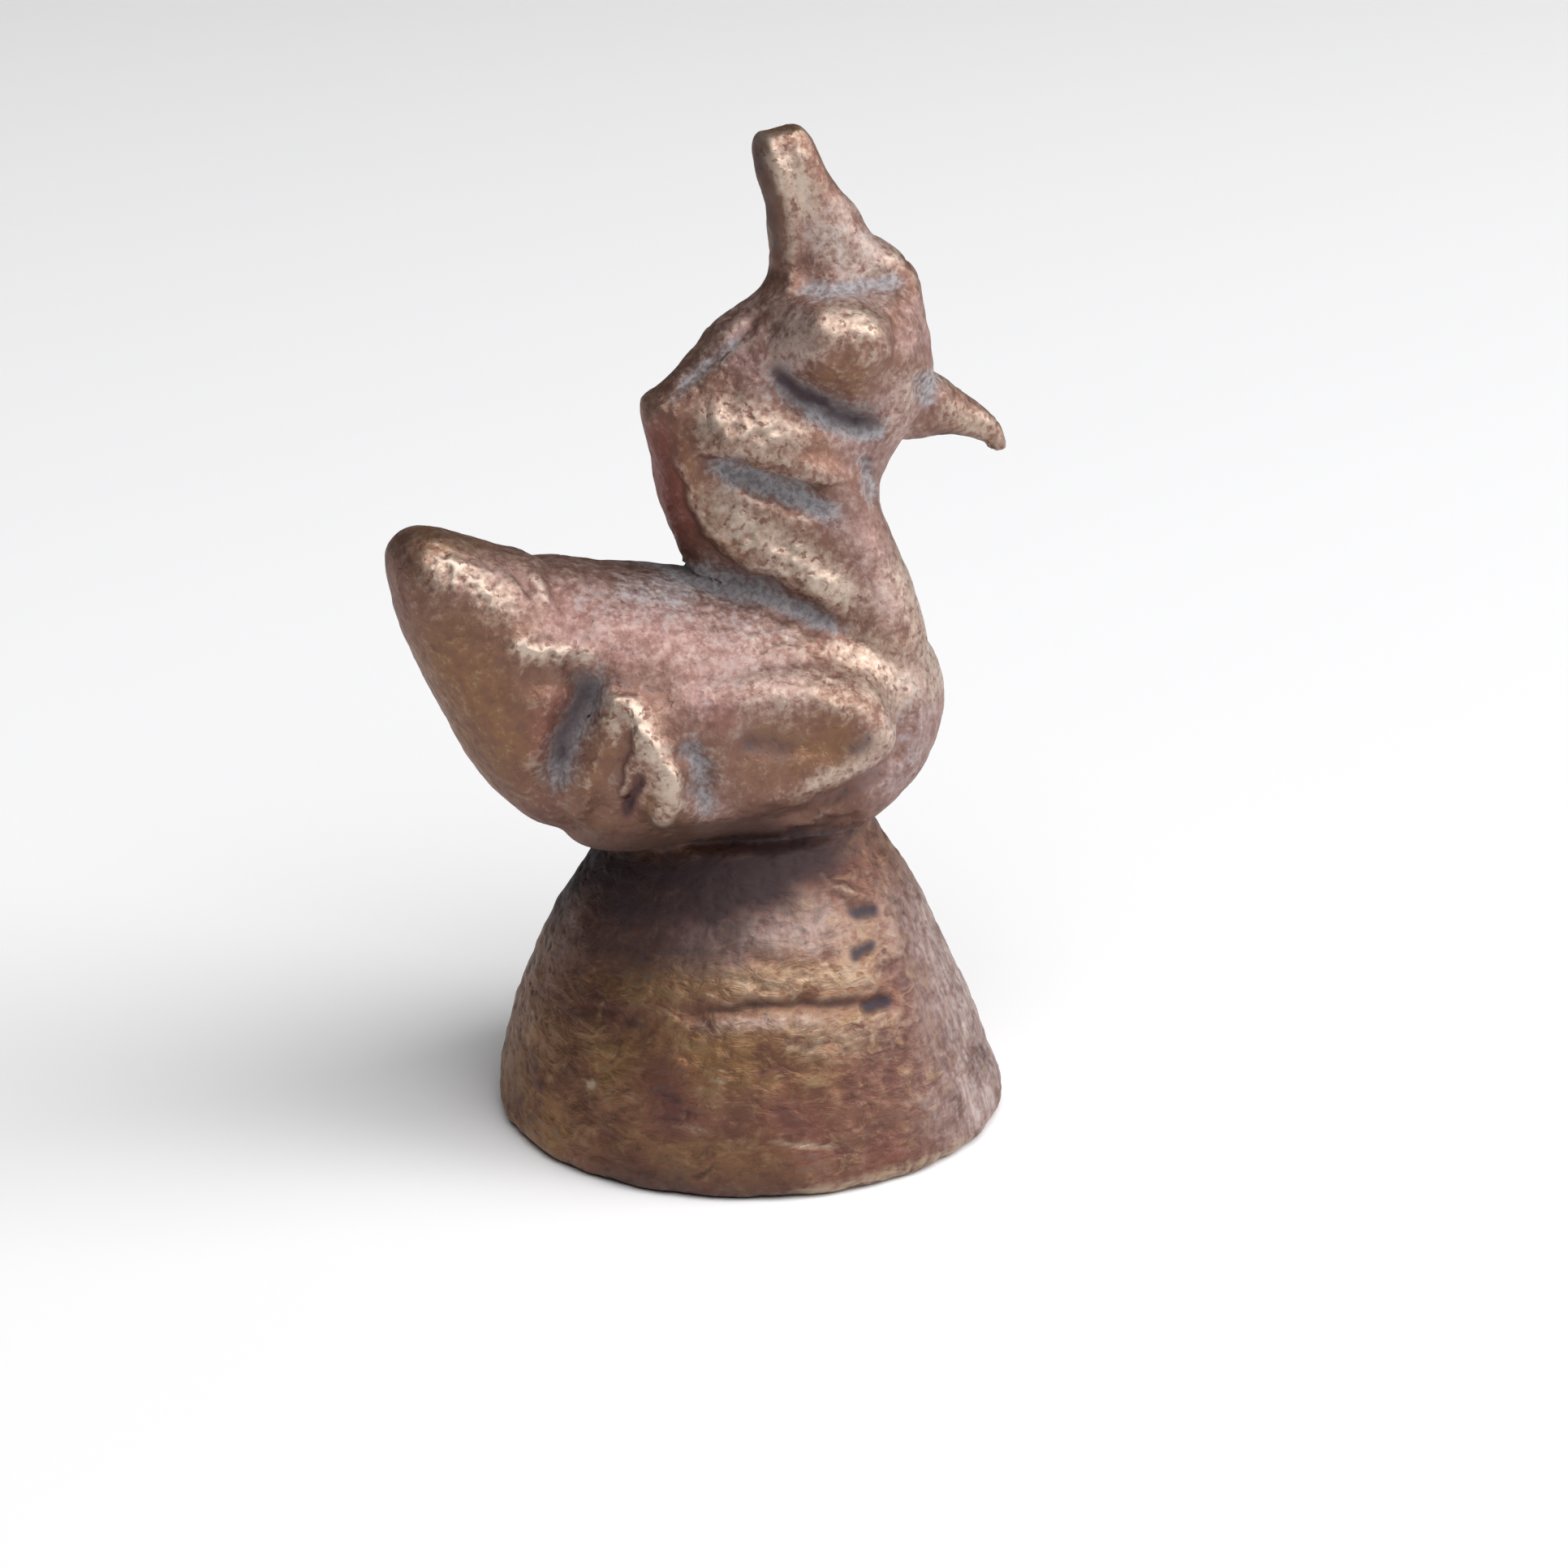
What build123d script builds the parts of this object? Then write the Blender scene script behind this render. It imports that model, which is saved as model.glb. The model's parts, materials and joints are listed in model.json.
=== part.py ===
"""Solid brass duck on a domed foot, in the separate forms that its wax model was built from.

Frame: origin at the middle of the foot's flat underside, +Z up, +X towards the beak, +Y to the duck's left.
Each form is set into the form that carries it, or meets it face to face on a short tenon.
Units: millimetres.
"""

import os
from math import copysign, cos, pi, radians, sin

from build123d import *

# Foot: a dome whose waist is set back towards the tail, with a blind socket in its top
base_radius = 13.13
base_height = 15.6
base_rim_round = 0.7
base_bulge = 1.1
base_set_back = 0.5
waist_radius = 6.2

# Peg under the belly, and the tenons of the tail and the head
peg_radius = 2.4
peg_length = 5.0
tenon_radius = 1.5
tenon_length = 2.5
joint_clearance = 0.05

# Body: an egg lying along X, cut flat where it sits on the foot
body_length = 20.3
body_width = 14.8
body_height = 14.4
body_rear_x = -10.4
belly_sink = 1.2

# Tail: an upswept wedge on the rear of the body
tail_root_depth = 13.6
tail_root_width = 11.2
tail_root_lift = 8.8
tail_length = 7.6
tail_rise = 8.5

# Wings: pillow-shaped lobes laid against the flanks
wing_length = 14.4
wing_height = 7.8
wing_proud = 0.9
wing_socket = 1.8
wing_x = -2.4
wing_lift = 7.2
wing_pitch = 4.0
wing_yaw = 5.0

# Neck: a wedge that is narrow along the nape
neck_depth = 12.6
neck_width = 10.4
neck_height = 11.4
neck_socket = 5.3
neck_x = 2.0

# Head: an egg that leans forward, on the neck's slanting top
throat_depth = 12.9
throat_width = 8.8
throat_lean = 67.0
throat_set_back = 1.85
head_depth = 12.0
head_width = 9.2
head_length = 11.1
head_lean = 47.5

# Crest: a blunt horn that sweeps back from the crown
crest_depth = 6.0
crest_width = 4.0
crest_height = 7.25
crest_sweep = 2.7

# Beak: a small hooked spike
beak_depth = 3.8
beak_width = 3.8
beak_reach = 5.95
beak_drop = 3.1

# Creases: lens-shaped hollows with a flat floor, between the folds of the neck and under the eyes
neck_crease_length = 8.4
neck_crease_height = 2.0
neck_crease_depth = 0.85
neck_crease_pitch = -25.5
neck_crease_yaw = 17.0
cheek_crease_length = 7.8
cheek_crease_height = 1.6
cheek_crease_depth = 0.8
cheek_crease_pitch = -33.0
cheek_crease_yaw = 5.0

# Eyes: round pellets pressed into the sides of the head
eye_radius = 2.6
eye_proud = 1.1
eye_socket = 2.2

# Where the eyes, the beak and the crest are set: shares of the head's length, and of its depth rearwards
eye_seat = (0.51, 0.11)
beak_seat = (0.54, -0.385)
crest_seat = (0.76, 0.185)

# Where the creases are cut: shares along and across the neck or head, and of its half width
neck_crease_seat = (0.89, -0.19, 0.78)
cheek_crease_seat = (0.27, 0.02, 0.95)

# Outlines: points that an oval is drawn through, how square it is, and how much narrower one end is
OVAL_POINTS = 16
body_squareness = 2.2
neck_squareness = 2.4
crest_squareness = 2.4
wing_squareness = 2.3
nape_taper = -0.35
crown_taper = -0.10
wing_taper = -0.15

# Places that the forms share
belly_z = base_height - belly_sink
back_z = belly_z + body_height
tail_root_z = belly_z + tail_root_lift
neck_root_z = back_z - neck_socket
throat_x = neck_x - throat_set_back
throat_z = neck_root_z + neck_height


def station(x, z, lean):
    """Plane square to a form's own line, which points lean degrees above +X in the mid plane."""
    along = radians(lean)
    return Plane(origin=(x, 0, z), x_dir=(-sin(along), 0, cos(along)), z_dir=(cos(along), 0, sin(along)))


def oval_points(depth, width, squareness=2.0, taper=0.0):
    """Points round an oval: squareness 2 is an ellipse, and a negative taper narrows its first end."""
    points = []
    for n in range(OVAL_POINTS):
        angle = 2 * pi * n / OVAL_POINTS
        along = copysign(abs(cos(angle)) ** (2 / squareness), cos(angle))
        across = copysign(abs(sin(angle)) ** (2 / squareness), sin(angle))
        points.append((depth / 2 * along, width / 2 * across * (1 + taper * along)))
    return points


def flank_plane(x, y, z, pitch, yaw):
    """Plane on the right flank: X runs forwards, turned up by pitch and outwards by yaw, and Z points out."""
    upwards = radians(pitch)
    outwards = radians(yaw)
    return Plane(
        origin=(x, -y, z),
        x_dir=(cos(upwards) * cos(outwards), -cos(upwards) * sin(outwards), sin(upwards)),
        z_dir=(-sin(outwards), -cos(outwards), 0),
    )


def head_point(length_share, depth_share):
    """Place in the mid plane, along the head's own line and square to it, rearwards."""
    lean = radians(head_lean)
    along = head_length * length_share
    rearwards = head_depth * depth_share
    x = throat_x + along * cos(lean) - rearwards * sin(lean)
    z = throat_z + along * sin(lean) + rearwards * cos(lean)
    return x, z


# Eyes: pellets with a flat back, on the cheeks
eye_x, eye_z = head_point(*eye_seat)
with BuildPart() as right_eye:
    with Locations((eye_x, eye_radius - eye_proud - head_width / 2, eye_z)):
        Sphere(eye_radius)
    split(bisect_by=Plane.XZ.offset(head_width / 2 - eye_socket), keep=Keep.TOP)
right_eye.part.label = "right_eye"

with BuildPart() as left_eye:
    mirror(right_eye.part, about=Plane.XZ)
left_eye.part.label = "left_eye"

# Beak, root to hooked tip: shares of its reach, drop, depth and width, and the way it points
beak_stations = (
    (0.00, 0.00, 1.00, 1.00, -28),
    (0.34, 0.23, 0.84, 0.84, -28),
    (0.66, 0.44, 0.50, 0.52, -30),
    (0.94, 0.81, 0.26, 0.29, -40),
    (1.00, 1.00, 0.13, 0.16, -70),
)
beak_x, beak_z = head_point(*beak_seat)
with BuildPart() as beak:
    for reach, drop, depth, width, lean in beak_stations:
        with BuildSketch(station(beak_x + beak_reach * reach, beak_z - beak_drop * drop, lean)):
            with BuildLine():
                Spline(*oval_points(beak_depth * depth, beak_width * width), periodic=True)
            make_face()
    loft()
beak.part.label = "beak"

# Crest, root to blunt top: shares of its sweep, height, depth and width, and the way it points
crest_stations = (
    (-0.07, 0.00, 0.94, 1.00, 95),
    (0.00, 0.19, 0.92, 0.95, 105),
    (0.59, 0.55, 0.60, 0.73, 110),
    (0.96, 0.88, 0.52, 0.60, 103),
    (1.00, 1.00, 0.34, 0.40, 103),
)
crest_x, crest_z = head_point(*crest_seat)
with BuildPart() as crest:
    for sweep, rise, depth, width, lean in crest_stations:
        outline = oval_points(crest_depth * depth, crest_width * width, crest_squareness)
        with BuildSketch(station(crest_x - crest_sweep * sweep, crest_z + crest_height * rise, lean)):
            with BuildLine():
                Spline(*outline, periodic=True)
            make_face()
    loft()
crest.part.label = "crest"

# Creases, floor to mouth: shares of the depth, and of the outline
crease_stations = ((-1.0, 0.72), (1.0, 1.28))
cheek_along, cheek_rearwards, cheek_out = cheek_crease_seat
cheek_x, cheek_z = head_point(cheek_along, cheek_rearwards)
cheek = flank_plane(cheek_x, head_width / 2 * cheek_out, cheek_z, cheek_crease_pitch, cheek_crease_yaw)
with BuildPart() as cheek_crease:
    for outwards, share in crease_stations:
        reach = cheek_crease_length / 2 * share
        rise = cheek_crease_height / 2 * share
        with BuildSketch(cheek.offset(cheek_crease_depth * outwards)):
            with BuildLine():
                ThreePointArc((-reach, 0), (0, rise), (reach, 0))
                ThreePointArc((reach, 0), (0, -rise), (-reach, 0))
            make_face()
    loft(ruled=True)

neck_up, neck_forwards, neck_out = neck_crease_seat
neck_side = flank_plane(
    neck_x + neck_depth * neck_forwards,
    neck_width / 2 * neck_out,
    neck_root_z + neck_height * neck_up,
    neck_crease_pitch,
    neck_crease_yaw,
)
with BuildPart() as neck_crease:
    for outwards, share in crease_stations:
        reach = neck_crease_length / 2 * share
        rise = neck_crease_height / 2 * share
        with BuildSketch(neck_side.offset(neck_crease_depth * outwards)):
            with BuildLine():
                ThreePointArc((-reach, 0), (0, rise), (reach, 0))
                ThreePointArc((reach, 0), (0, -rise), (-reach, 0))
            make_face()
    loft(ruled=True)

# Head, throat to crown: shares of its length, of its depth rearwards, of its depth and width, and its turn
throat_outline = oval_points(throat_depth, throat_width, neck_squareness, nape_taper)
throat = station(throat_x, throat_z, throat_lean)
head_stations = (
    (0.25, -0.03, 0.94, 0.96, 7.0),
    (0.58, -0.045, 0.80, 1.00, 2.5),
    (0.80, -0.048, 0.575, 0.80, 3.0),
    (0.96, 0.00, 0.28, 0.40, 3.5),
    (1.00, 0.00, 0.07, 0.10, 3.5),
)
with BuildPart() as head:
    with BuildSketch(throat):
        with BuildLine():
            Spline(*throat_outline, periodic=True)
        make_face()
    for along, rearwards, depth, width, turn in head_stations:
        outline = oval_points(head_depth * depth, head_width * width, body_squareness, crown_taper)
        with BuildSketch(station(*head_point(along, rearwards), head_lean + turn)):
            with BuildLine():
                Spline(*outline, periodic=True)
            make_face()
    loft()
    with BuildSketch(throat):
        Circle(tenon_radius)
    extrude(amount=-tenon_length)
    for piece in (right_eye, left_eye, beak, crest, cheek_crease):
        add(piece.part, mode=Mode.SUBTRACT)
    mirror(cheek_crease.part, about=Plane.XZ, mode=Mode.SUBTRACT)
head.part.label = "head"

# Neck, root to throat: shares of its depth forwards, height, depth and width, and the way it points
neck_stations = (
    (0.00, 0.00, 1.00, 1.00, 70),
    (0.06, 0.26, 1.00, 1.00, 68),
    (-0.04, 0.62, 0.93, 0.88, 75),
)
with BuildPart() as neck:
    for forwards, rise, depth, width, lean in neck_stations:
        outline = oval_points(neck_depth * depth, neck_width * width, neck_squareness, nape_taper)
        with BuildSketch(station(neck_x + neck_depth * forwards, neck_root_z + neck_height * rise, lean)):
            with BuildLine():
                Spline(*outline, periodic=True)
            make_face()
    with BuildSketch(throat):
        with BuildLine():
            Spline(*throat_outline, periodic=True)
        make_face()
    loft()
    with BuildSketch(throat):
        Circle(tenon_radius + joint_clearance)
    extrude(amount=-(tenon_length + joint_clearance), mode=Mode.SUBTRACT)
    add(neck_crease.part, mode=Mode.SUBTRACT)
    mirror(neck_crease.part, about=Plane.XZ, mode=Mode.SUBTRACT)
neck.part.label = "neck"

# Tail, root to tip: shares of its length, rise, depth and width, and the way it points
tail_outline = oval_points(tail_root_depth, tail_root_width, body_squareness)
tail_root = station(body_rear_x, tail_root_z, 180)
tail_stations = (
    (0.24, 0.11, 0.88, 0.91, 170),
    (0.51, 0.47, 0.60, 0.77, 148),
    (0.81, 0.80, 0.34, 0.55, 135),
    (0.96, 0.97, 0.16, 0.30, 135),
    (1.00, 1.00, 0.05, 0.11, 135),
)
with BuildPart() as tail:
    with BuildSketch(tail_root):
        with BuildLine():
            Spline(*tail_outline, periodic=True)
        make_face()
    for rearwards, rise, depth, width, lean in tail_stations:
        outline = oval_points(tail_root_depth * depth, tail_root_width * width, body_squareness)
        across = station(body_rear_x - tail_length * rearwards, tail_root_z + tail_rise * rise, lean)
        with BuildSketch(across):
            with BuildLine():
                Spline(*outline, periodic=True)
            make_face()
    loft()
    with BuildSketch(tail_root):
        Circle(tenon_radius)
    extrude(amount=-tenon_length)
tail.part.label = "tail"

# Wings, flank to crown: shares of the thickness, and of the outline
wing_stations = ((0.00, 1.00), (0.55, 0.92), (0.85, 0.68), (1.00, 0.36))
wing_inner_y = body_width / 2 - wing_socket
wing_thickness = wing_socket + wing_proud
flank = flank_plane(wing_x, wing_inner_y, belly_z + wing_lift, wing_pitch, wing_yaw)
with BuildPart() as right_wing:
    for outwards, share in wing_stations:
        outline = oval_points(wing_length * share, wing_height * share, wing_squareness, wing_taper)
        with BuildSketch(flank.offset(wing_thickness * outwards)):
            with BuildLine():
                Spline(*outline, periodic=True)
            make_face()
    loft()
    add(neck.part, mode=Mode.SUBTRACT)
    add(tail.part, mode=Mode.SUBTRACT)
right_wing.part.label = "right_wing"

with BuildPart() as left_wing:
    mirror(right_wing.part, about=Plane.XZ)
left_wing.part.label = "left_wing"

# Body, tail root to breast: shares of its length, of its height at the belly and the back, and of its width
body_stations = (
    (0.21, 0.04, 1.015, 0.95),
    (0.50, 0.00, 0.955, 1.01),
    (0.74, 0.02, 0.89, 0.92),
    (0.90, 0.18, 0.76, 0.65),
    (0.98, 0.34, 0.61, 0.32),
    (1.00, 0.43, 0.53, 0.12),
)
with BuildPart() as body:
    with BuildSketch(tail_root):
        with BuildLine():
            Spline(*tail_outline, periodic=True)
        make_face()
    for forwards, belly, back, width in body_stations:
        middle_z = belly_z + body_height * (belly + back) / 2
        outline = oval_points(body_height * (back - belly), body_width * width, body_squareness)
        with BuildSketch(station(body_rear_x + body_length * forwards, middle_z, 0)):
            with BuildLine():
                Spline(*outline, periodic=True)
            make_face()
    loft()
    split(bisect_by=Plane.XY.offset(base_height), keep=Keep.TOP)
    with BuildSketch(Plane.XY.offset(base_height)):
        Circle(peg_radius)
    extrude(amount=-peg_length)
    with BuildSketch(tail_root):
        Circle(tenon_radius + joint_clearance)
    extrude(amount=-(tenon_length + joint_clearance), mode=Mode.SUBTRACT)
    for piece in (neck, right_wing, left_wing):
        add(piece.part, mode=Mode.SUBTRACT)
body.part.label = "body"

# Foot, floor to waist: shares of its height, of its bulge and of its set-back
base_stations = (
    (0.00, 0.00, 0.0),
    (0.30, 0.84, 0.7),
    (0.60, 0.96, 1.0),
    (0.85, 0.51, 1.0),
    (1.00, 0.00, 1.0),
)
with BuildPart() as base:
    for rise, bulge, set_back in base_stations:
        radius = base_radius + (waist_radius - base_radius) * rise + base_bulge * bulge
        with BuildSketch(Plane(origin=(-base_set_back * set_back, 0, base_height * rise))):
            Circle(radius)
    loft()
    fillet(base.edges().group_by(Axis.Z)[0], base_rim_round)
    with BuildSketch(Plane.XY.offset(base_height)):
        Circle(peg_radius + joint_clearance)
    extrude(amount=-(peg_length + joint_clearance), mode=Mode.SUBTRACT)
base.part.label = "base"

os.makedirs("parts", exist_ok=True)
for piece in (base, body, tail, right_wing, left_wing, neck, head, crest, beak, right_eye, left_eye):
    export_step(piece.part, f"parts/{piece.part.label}.step")
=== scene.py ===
"""Finish of the brass duck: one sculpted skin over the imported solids, cut into a piece for each form.

The skin is worked in millimetres and the finished pieces are in metres.
Lines drawn on the duck are given in the photograph's 1932 x 1932 pixels.
The far flank repeats the near one.
"""

import json
import math

import bmesh
import bpy
import numpy as np
from mathutils import Matrix, Vector, noise
from mathutils.bvhtree import BVHTree


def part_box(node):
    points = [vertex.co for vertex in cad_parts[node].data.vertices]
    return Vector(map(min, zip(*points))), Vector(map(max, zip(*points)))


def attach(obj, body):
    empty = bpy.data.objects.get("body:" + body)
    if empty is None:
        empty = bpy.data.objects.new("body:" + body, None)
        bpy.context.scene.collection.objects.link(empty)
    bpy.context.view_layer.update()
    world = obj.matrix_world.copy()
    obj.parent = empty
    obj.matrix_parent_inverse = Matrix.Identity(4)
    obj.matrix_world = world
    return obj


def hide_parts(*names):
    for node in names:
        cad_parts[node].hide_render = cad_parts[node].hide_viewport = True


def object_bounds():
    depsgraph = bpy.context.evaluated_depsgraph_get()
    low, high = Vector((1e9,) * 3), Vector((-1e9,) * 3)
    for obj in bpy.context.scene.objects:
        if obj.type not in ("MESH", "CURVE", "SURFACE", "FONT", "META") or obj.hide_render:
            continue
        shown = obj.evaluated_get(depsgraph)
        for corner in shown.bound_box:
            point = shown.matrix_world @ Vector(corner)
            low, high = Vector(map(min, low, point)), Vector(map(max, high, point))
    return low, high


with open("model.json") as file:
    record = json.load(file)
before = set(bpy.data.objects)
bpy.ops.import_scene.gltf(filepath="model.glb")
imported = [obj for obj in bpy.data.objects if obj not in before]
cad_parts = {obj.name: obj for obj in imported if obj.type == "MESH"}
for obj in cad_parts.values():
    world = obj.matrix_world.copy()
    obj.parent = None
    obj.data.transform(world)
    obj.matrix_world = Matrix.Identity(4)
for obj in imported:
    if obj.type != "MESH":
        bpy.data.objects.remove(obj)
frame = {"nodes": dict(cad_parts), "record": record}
cad_low, cad_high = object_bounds()

MM = 0.001
FORMS = tuple(part["node"] for part in frame["record"]["subparts"])
EYES = ("right_eye", "left_eye")
WINGS = ("right_wing", "left_wing")
TRUNK = ("body", "tail") + WINGS

# The photograph's view: millimetres, degrees and pixels
PHOTO_SIZE = 1932
PHOTO_FOCAL = 4880.0
SENSOR_WIDTH = 36.0
VIEW_AZIMUTH = -22.0
VIEW_ELEVATION = 20.0
VIEW_DISTANCE = 200.0
VIEW_AIM = (1.77, 0.0, 16.71)
PIXELS_PER_MM = PHOTO_FOCAL / VIEW_DISTANCE

# The skin's mesh
SKIN_PITCH = 0.165
SKIN_NORMAL = "skin_normal"
MERGE_GAP = 1e-7
SEARCH_GAP = 0.6
BORDER_ROUNDS = 6
# Stored on each point: hollows and edges, stains, and painted light, with highlights kept with the wear,
# sheen with the bloom, warm reflections with the golden and copper tones and shade with the grime
STAINS = ("hollow", "edge", "wear_and_highlight", "bloom_and_sheen", "golden_and_warm_shade", "copper_and_warm_reflection", "tarnish", "grime_and_shade")

# Drawn strokes: how they fade at their ends, waver, and fade towards the outline and on round it
STROKE_FADE = 0.25
WOBBLE_SEED = 5
WOBBLE_SCALE = 0.9
WOBBLE_PIXELS = 5.0
OUTLINE_FADE = (0.0, 0.3)
WRAP_FADE = (-0.8, -0.2)
FLANK_FADE = (-0.2, 0.2)

# Soft joints between the forms: forms, rounds of rubbing and reach
JOINT_FILLETS = (
    (("head", "crest", "beak") + EYES, 60, 30),
    (("body", "tail"), 80, 40),
    (("body",) + WINGS, 40, 30),
    (("neck", "head"), 30, 20),
    (("neck", "body"), 20, 15),
)
FILLET_SLOPE = 2.5
LEAST_CLAIM = 0.01
MIDDLE_WIDTH = 0.5
MIDDLE_ROUNDS = 16

# Rubbing: the share of the way to the neighbours' mean, and the rounds before and after the carving
RUB_STEP = 0.5
BLANK_ROUNDS = 6
BLANK_SHARE = 1.0
SLIM_FORMS = ("crest", "beak")
SLIM_SHARE = 0.4
LAST_ROUNDS = 2
LAST_SHARE = 0.6

# Unevenness of the worked surface: scale and offset of each noise, then ranges and heights
LUMPS = (0.45, 0.45, 0.45), (0, 0, 0)
KNOCKS = (1.3, 1.3, 1.3), (7, 3, 5)
PITS = (3.2, 3.2, 3.2), (2, 9, 4)
CRATERS = (2.1, 2.1, 2.1), (4, 1, 8)
WRINKLES = (0.9, 0.9, 2.0), (0, 0, 0)
PIT_RANGE = (0.1, 0.7)
CRATER_RANGE = (-0.1, 0.5)
LUMP_LIFT = 0.10
KNOCK_LIFT = 0.05
PIT_DEPTH = 0.06
WRINKLE_LIFT = 0.05

# Rounds of rubbing that show broad and fine relief, the depths that count as hollows and edges, and the
# painted highlight on faces that turn up
BROAD_ROUNDS = 40
FINE_ROUNDS = 8
HOLLOW_DEPTH = (0.01, 0.16)
FINE_EDGE = (0.004, 0.05)
BROAD_EDGE = (0.02, 0.2)
FINE_SHARE = 0.6
TOP_FACING = (-0.1, 0.9)
TOP_HIGHLIGHT = 0.22

# The metals: ages and painted light, scales of the noises per metre, relief and plain gloss
AGES = ("Worn_And_Highlight", "Bloom_And_Sheen", "Golden_And_Warm_Shade", "Copper_And_Warm_Reflection", "Tarnish", "Grime_And_Shade")
GRAINS = ("Grain", "Mottle", "Pits")
BIRD_SCALES = (3600.0, 1200.0)
FOOT_SCALES = (2800.0, 330.0)
FOOT_STREAKS = (0.6, 0.6, 1.1)
FOOT_BRUSHING = (1.0, 1.0, 0.15)
FOOT_WRINKLES = (0.55, 0.55, 1.0)
BARK_SCALE = 1300.0
BRUSH_SCALE = 2600.0
BARK_RELIEF = 2.5
BUMP_STRENGTH = 0.7
BUMP_DEPTH = 6e-5
PLAIN_ROUGHNESS = 0.56
PLAIN_METALLIC = 0.78
TARNISH_COVER = 0.9
PIT_RAMP = (0.56, 0.72)
PATCH_RAMP = (0.28, 0.70)
WORN_AND_HIGHLIGHT_RAMP = (0.90, 1.85)
TARNISH_RAMP = (1.75, 3.5)
GRIME_AND_SHADE_RAMP = (1.10, 2.50)
MOTTLE_RAMP = (0.30, 0.66)
SLATE_RAMP = (0.36, 0.64)
BRUSH_RAMP = (0.35, 0.65)
CRACK_RAMP = (0.48, 0.30, 0.0, 0.65)
RIDGE_RAMP = (0.52, 0.70, 0.0, 0.6)
BIRD_COLOURS = {
    "plain": (0.258, 0.137, 0.097, 1),
    "dark": (0.190, 0.097, 0.076, 1),
    # the golden colour is a golden tone and also a painted warm reflection in shade
    "golden_and_warm_shade": (0.240, 0.122, 0.048, 1),
    # the copper colour is a copper tone and also a painted warm reflection
    "copper_and_warm_reflection": (0.270, 0.092, 0.080, 1),
    # the bloom colour is a pale film and also a painted sheen
    "bloom_and_sheen": (0.430, 0.295, 0.283, 1),
    # the worn colour is pale wear and also a painted highlight
    "worn_and_highlight": (0.570, 0.455, 0.370, 1),
    "pit": (0.205, 0.125, 0.104, 1),
    "tarnish": (0.410, 0.405, 0.425, 1),
    "slate": (0.215, 0.205, 0.222, 1),
    # the grime colour is also painted shade
    "grime_and_shade": (0.075, 0.050, 0.058, 1),
}
FOOT_COLOURS = {
    "plain": (0.225, 0.108, 0.074, 1),
    "dark": (0.120, 0.052, 0.043, 1),
    # the golden colour is a golden tone and also a painted warm reflection in shade
    "golden_and_warm_shade": (0.290, 0.158, 0.056, 1),
    # the copper colour is a copper tone and also a painted warm reflection
    "copper_and_warm_reflection": (0.205, 0.072, 0.054, 1),
    # the bloom colour is a pale film and also a painted sheen
    "bloom_and_sheen": (0.620, 0.520, 0.510, 1),
    # the worn colour is pale wear and also a painted highlight
    "worn_and_highlight": (0.400, 0.300, 0.215, 1),
    "pit": (0.100, 0.050, 0.040, 1),
    "tarnish": (0.060, 0.060, 0.085, 1),
    "slate": (0.035, 0.035, 0.055, 1),
    # the grime colour is also painted shade
    "grime_and_shade": (0.050, 0.029, 0.031, 1),
    "brushed": (0.340, 0.255, 0.242, 1),
    "ridge": (0.350, 0.230, 0.125, 1),
}

# The studio, in metres: name, place, width and power of each lamp
LAMPS = (
    ("key", (0.05, -0.60, 1.10), 1.5, 18.0),
    ("fill", (1.00, -0.45, 0.60), 1.0, 11.0),
)
LAMP_TARGET = (0, 0, 0.02)
FLOOR_SIZE = 4.0
FLOOR_DROP = 2e-5
PAPER_COLOUR = (0.93, 0.93, 0.94, 1)
PAPER_ROUGHNESS = 0.9
BACKDROP_RAMP = (0.0, 0.8, 0.55, 1.0)
SEEN_RAMP = (0.0, 1.0, 0.6, 1.0)
LENS_CLIP = 0.01

# Patches full of small craters: depth, width and line
CRATERED_LINES = (
    (0.16, 1.1, [(515, 692), (570, 708), (640, 755)]),
    (0.16, 0.8, [(622, 800), (680, 808), (738, 804)]),
    (0.10, 1.6, [(900, 770), (980, 800), (1060, 840)]),
    (0.10, 1.2, [(850, 520), (920, 520), (1000, 550)]),
    (0.10, 1.2, [(880, 620), (960, 690), (1060, 750)]),
    (0.10, 1.8, [(1030, 410), (1060, 425)]),
)
FOOT_PITS = ((1066, 1122), (1064, 1169), (1082, 1238))
PIT_STAINS = (("tarnish", 0.95, 0.32), ("grime_and_shade", 0.45, 0.30))
PALE_SPECK = (1.6, 0.20, [(725, 1336), (729, 1336)])
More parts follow.
